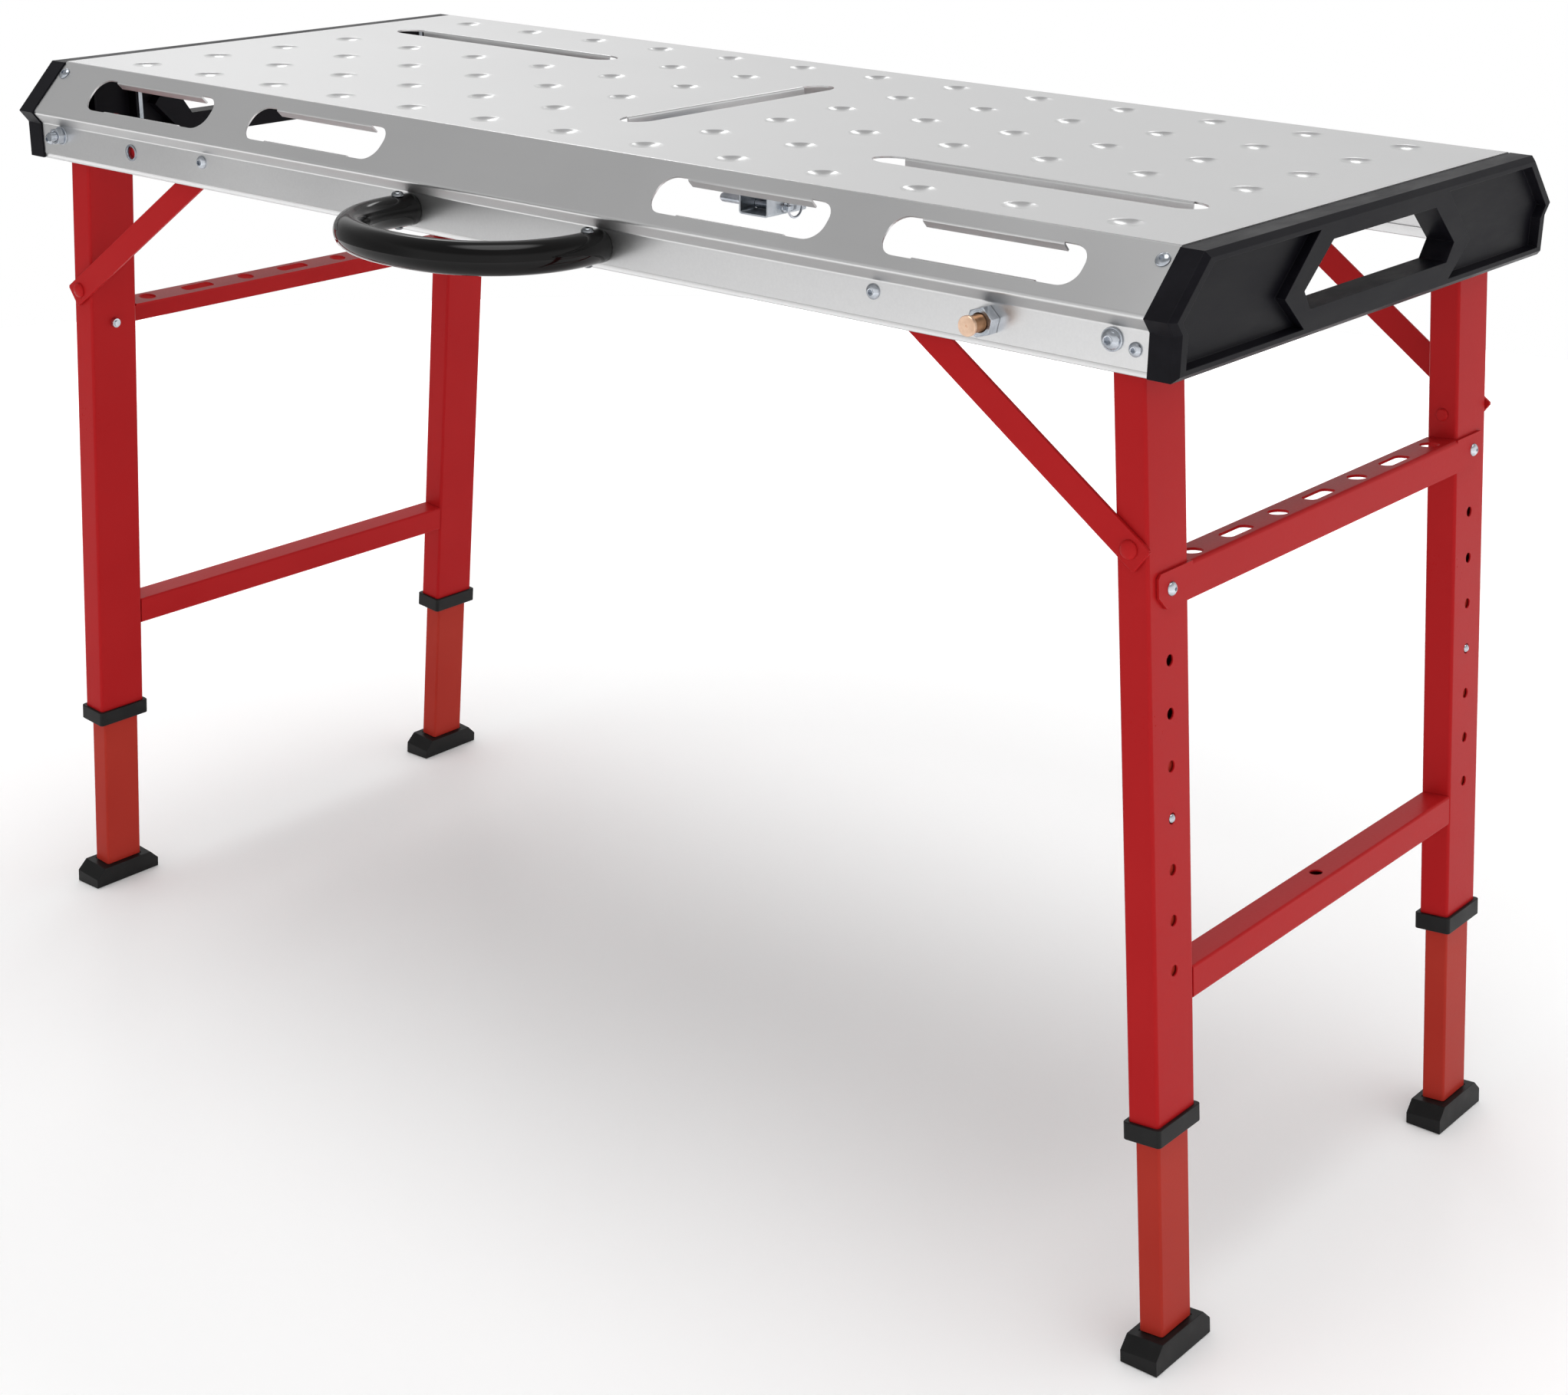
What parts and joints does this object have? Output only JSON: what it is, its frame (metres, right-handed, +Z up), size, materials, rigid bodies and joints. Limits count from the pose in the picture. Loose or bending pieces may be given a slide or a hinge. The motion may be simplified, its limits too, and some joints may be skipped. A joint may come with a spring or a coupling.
{
  "type": "folding welding table",
  "caption": "Folding steel work table with a dimpled, slotted top, splayed red telescopic legs, black end caps, a carrying handle and an earth stud.",
  "frame": {"origin": "on the floor, under the middle of the whole object's bounding box, carrying handle included", "axes": "+X along the table towards the end nearest the viewer, +Y across it away from the carrying handle, +Z up"},
  "size_m": [1.2744, 0.6664, 0.8151],
  "materials": {
    "steel_sheet": "galvanised sheet, faint grain, satin",
    "black_plastic": "moulded, fine grain",
    "black_gloss": "gloss black powder coat",
    "red_paint": "semi-gloss red powder coat",
    "black_rubber": "matt moulded",
    "zinc": "bright zinc plate",
    "copper": "copper-plated, slightly dull"
  },
  "bodies": {
    "table": {"top_sheet": "steel_sheet", "end_cap_left": "black_plastic", "end_cap_right": "black_plastic", "carry_handle": "black_gloss", "handle_post_left": "zinc", "handle_post_right": "zinc", "handle_screw_left": "zinc", "handle_screw_right": "zinc", "earth_stud": "copper", "earth_stud_nut": "zinc", "lock_bracket": "zinc", "pivot_bolt_right_front": "zinc", "brace_screw_right_front": "zinc", "pivot_bolt_right_back": "zinc", "brace_screw_right_back": "zinc", "pivot_bolt_left_front": "zinc", "brace_screw_left_front": "zinc", "pivot_bolt_left_back": "zinc", "brace_screw_left_back": "zinc"},
    "lock_pin": {"lock_pin": "zinc"},
    "lock_ring": {"lock_ring": "zinc"},
    "right_frame": {"outer_leg_right_front": "red_paint", "rail_bolt_right_front": "zinc", "brace_rivet_right_front": "red_paint", "collar_right_front": "black_rubber", "outer_leg_right_back": "red_paint", "rail_bolt_right_back": "zinc", "brace_rivet_right_back": "red_paint", "collar_right_back": "black_rubber", "upper_rail_right": "red_paint", "lower_crossbar_right": "red_paint"},
    "left_frame": {"outer_leg_left_front": "red_paint", "rail_bolt_left_front": "zinc", "brace_rivet_left_front": "red_paint", "collar_left_front": "black_rubber", "outer_leg_left_back": "red_paint", "rail_bolt_left_back": "zinc", "brace_rivet_left_back": "red_paint", "collar_left_back": "black_rubber", "upper_rail_left": "red_paint", "lower_crossbar_left": "red_paint"},
    "brace_right_front": {"brace_right_front": "red_paint"},
    "inner_leg_right_front": {"inner_leg_right_front": "red_paint", "foot_right_front": "black_rubber"},
    "spring_button_right_front": {"spring_button_right_front": "zinc"},
    "brace_right_back": {"brace_right_back": "red_paint"},
    "inner_leg_right_back": {"inner_leg_right_back": "red_paint", "foot_right_back": "black_rubber"},
    "spring_button_right_back": {"spring_button_right_back": "zinc"},
    "brace_left_front": {"brace_left_front": "red_paint"},
    "inner_leg_left_front": {"inner_leg_left_front": "red_paint", "foot_left_front": "black_rubber"},
    "spring_button_left_front": {"spring_button_left_front": "zinc"},
    "brace_left_back": {"brace_left_back": "red_paint"},
    "inner_leg_left_back": {"inner_leg_left_back": "red_paint", "foot_left_back": "black_rubber"},
    "spring_button_left_back": {"spring_button_left_back": "zinc"}
  },
  "joints": [
    {"name": "right_frame_fold", "type": "hinge", "parent": "table", "child": "right_frame", "pos_m": [0.5503, 0.05795, 0.7554], "axis": [0, 1, 0], "range_deg": [0, 93.09]},
    {"name": "left_frame_fold", "type": "hinge", "parent": "table", "child": "left_frame", "pos_m": [-0.55019, 0.05795, 0.75659], "axis": [0, 1, 0], "range_deg": [-96.49, 0]},
    {"name": "brace_right_front_swing", "type": "hinge", "parent": "right_frame", "child": "brace_right_front", "pos_m": [0.56369, -0.19305, 0.61353], "axis": [0, 1, 0], "range_deg": [-127.8, 0]},
    {"name": "brace_right_back_swing", "type": "hinge", "parent": "right_frame", "child": "brace_right_back", "pos_m": [0.56369, 0.30895, 0.61353], "axis": [0, 1, 0], "range_deg": [-127.8, 0]},
    {"name": "inner_leg_right_front_slide", "type": "slide", "parent": "right_frame", "child": "inner_leg_right_front", "axis": [0.094, 0, -0.9956], "range_m": [-0.114, 0.114]},
    {"name": "spring_button_right_front_press", "type": "slide", "parent": "inner_leg_right_front", "child": "spring_button_right_front", "axis": [-0.9956, 0, -0.094], "range_m": [0, 0.004]},
    {"name": "inner_leg_right_back_slide", "type": "slide", "parent": "right_frame", "child": "inner_leg_right_back", "axis": [0.094, 0, -0.9956], "range_m": [-0.114, 0.114]},
    {"name": "spring_button_right_back_press", "type": "slide", "parent": "inner_leg_right_back", "child": "spring_button_right_back", "axis": [-0.9956, 0, -0.094], "range_m": [0, 0.004]},
    {"name": "brace_left_front_swing", "type": "hinge", "parent": "left_frame", "child": "brace_left_front", "pos_m": [-0.56369, -0.19305, 0.61353], "axis": [0, 1, 0], "range_deg": [0, 131.2]},
    {"name": "brace_left_back_swing", "type": "hinge", "parent": "left_frame", "child": "brace_left_back", "pos_m": [-0.56369, 0.30895, 0.61353], "axis": [0, 1, 0], "range_deg": [0, 131.2]},
    {"name": "inner_leg_left_front_slide", "type": "slide", "parent": "left_frame", "child": "inner_leg_left_front", "axis": [-0.094, 0, -0.9956], "range_m": [-0.114, 0.114]},
    {"name": "spring_button_left_front_press", "type": "slide", "parent": "inner_leg_left_front", "child": "spring_button_left_front", "axis": [0.9956, 0, -0.094], "range_m": [0, 0.004]},
    {"name": "inner_leg_left_back_slide", "type": "slide", "parent": "left_frame", "child": "inner_leg_left_back", "axis": [-0.094, 0, -0.9956], "range_m": [-0.114, 0.114]},
    {"name": "spring_button_left_back_press", "type": "slide", "parent": "inner_leg_left_back", "child": "spring_button_left_back", "axis": [0.9956, 0, -0.094], "range_m": [0, 0.004]},
    {"name": "lock_pin_slide", "type": "slide", "parent": "table", "child": "lock_pin", "axis": [1, 0, 0], "range_m": [0, 0.0315]},
    {"name": "lock_ring_swing", "type": "hinge", "parent": "lock_pin", "child": "lock_ring", "pos_m": [0.0625, 0.05795, 0.7366], "axis": [0, 0, 1], "range_deg": [-180, 0]}
  ],
  "couplings": [
    {"joint": "brace_right_front_swing", "follows": "right_frame_fold", "ratio": -1.3724},
    {"joint": "brace_right_back_swing", "follows": "right_frame_fold", "ratio": -1.3724},
    {"joint": "brace_left_front_swing", "follows": "left_frame_fold", "ratio": -1.3593},
    {"joint": "brace_left_back_swing", "follows": "left_frame_fold", "ratio": -1.3593}
  ]
}
